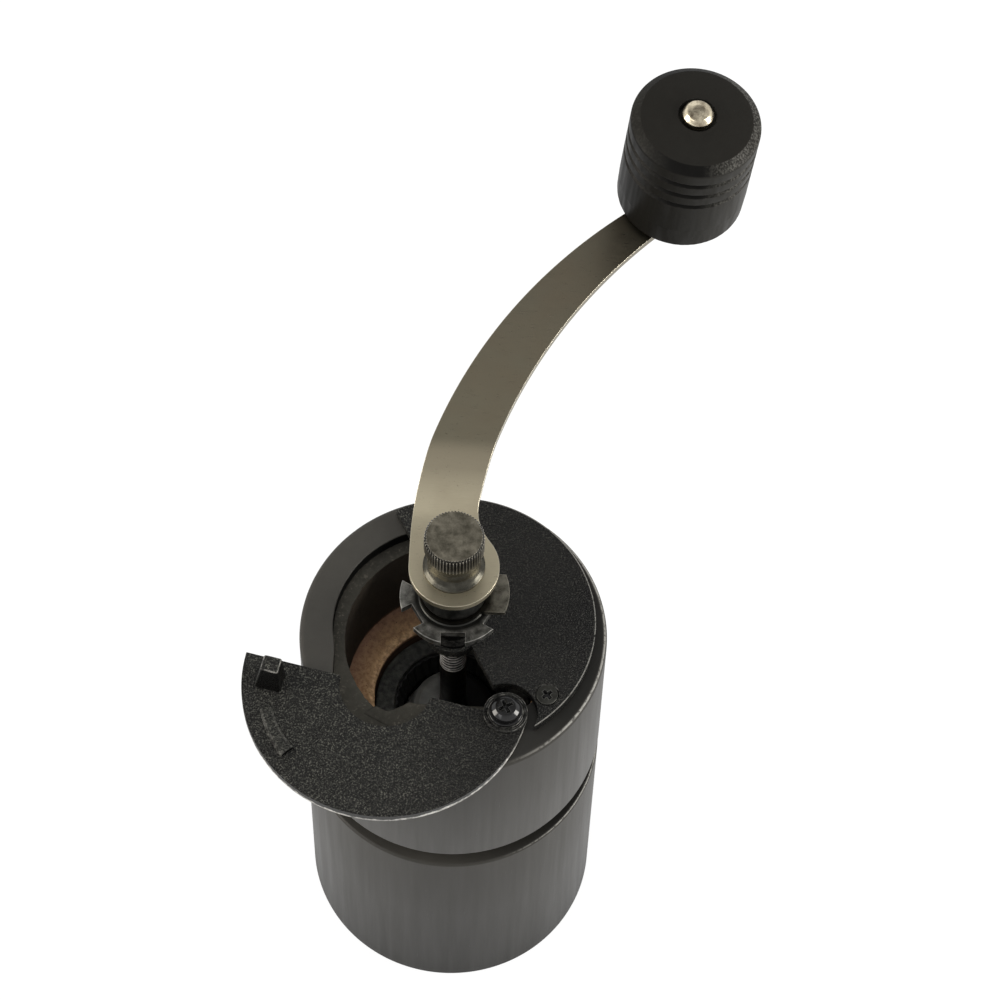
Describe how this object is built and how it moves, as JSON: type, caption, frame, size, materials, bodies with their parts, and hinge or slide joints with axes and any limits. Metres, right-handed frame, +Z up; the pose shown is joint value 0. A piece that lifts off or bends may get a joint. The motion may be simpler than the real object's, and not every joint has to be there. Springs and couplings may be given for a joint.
{
  "type": "manual coffee grinder",
  "caption": "Wooden cylinder mill with an open hopper, swing lid, grind adjuster, curved crank with a turned knob, and a lift-off grounds cup under conical burrs.",
  "frame": {"origin": "centre of the cup's foot, on the surface that the mill stands on and on the axis of the body", "axes": "+Z up along the shaft; +Y away from the viewer of the picture, +X to the right, with the crank as pictured"},
  "size_m": [0.1284, 0.1802, 0.2256],
  "materials": {
    "black_wood": "black stained turned wood with open pores, satin",
    "powder_coat": "black orange-peel powder coat with bare worn edges",
    "burnished_steel": "dark burnished steel with bright edges",
    "antique_nickel": "tarnished nickel plate, warm",
    "black_screw": "black zinc, glossy",
    "cast_iron": "rough dark casting",
    "burr_steel": "ground hardened steel",
    "bronze": "oiled bronze bush",
    "spring_steel": "bright zinc-plated steel"
  },
  "bodies": {
    "cup": {"grounds_cup": "black_wood"},
    "mill": {"hopper_body": "black_wood", "top_plate": "powder_coat", "plate_screw_1": "black_screw", "plate_screw_2": "black_screw", "lid_washer": "black_screw", "lid_pivot_screw": "black_screw", "upper_bush": "burnished_steel", "thrust_washer": "burnished_steel", "burr_housing": "cast_iron", "outer_burr": "burr_steel", "bearing_bridge": "cast_iron", "lower_bush": "bronze", "housing_screw_1": "black_screw", "housing_screw_2": "black_screw", "housing_screw_3": "black_screw"},
    "lid": {"lid": "powder_coat"},
    "adjuster": {"star_wheel": "burnished_steel"},
    "lock": {"lock_plate": "antique_nickel"},
    "shaft": {"drive_shaft": "burnished_steel", "seat_cone": "burnished_steel", "inner_burr": "burr_steel", "drive_pin": "spring_steel", "shaft_spring": "spring_steel", "spring_washer": "spring_steel", "end_nut": "spring_steel"},
    "crank": {"crank_arm": "antique_nickel", "knob_pin": "antique_nickel", "knob_washer": "burnished_steel"},
    "knob": {"knob": "black_wood"},
    "nut": {"thumb_nut": "burnished_steel"}
  },
  "joints": [
    {"name": "body_lift", "type": "slide", "parent": "cup", "child": "mill", "axis": [0, 0, 1], "range_m": [0, 0.03]},
    {"name": "lid_swing", "type": "hinge", "parent": "mill", "child": "lid", "pos_m": [0.01419, -0.0239, 0.1441], "axis": [0, 0, 1], "range_deg": [-48.5, 33]},
    {"name": "crank_spin", "type": "hinge", "parent": "mill", "child": "adjuster", "pos_m": [0, 0, 0.1627], "axis": [0, 0, 1], "continuous": true},
    {"name": "grind_turn", "type": "hinge", "parent": "adjuster", "child": "shaft", "pos_m": [0, 0, 0.1651], "axis": [0, 0, 1], "range_deg": [-180, 180]},
    {"name": "lock_lift", "type": "slide", "parent": "shaft", "child": "lock", "axis": [0, 0, 1], "range_m": [0, 0.0005]},
    {"name": "crank_lift", "type": "slide", "parent": "shaft", "child": "crank", "axis": [0, 0, 1], "range_m": [0, 0.018]},
    {"name": "knob_spin", "type": "hinge", "parent": "crank", "child": "knob", "pos_m": [0.0554, 0.1095, 0.18437], "axis": [0.0678, 0, 0.9977], "continuous": true},
    {"name": "nut_turn", "type": "hinge", "parent": "crank", "child": "nut", "pos_m": [0, 0, 0.1801], "axis": [0, 0, 1], "continuous": true}
  ]
}
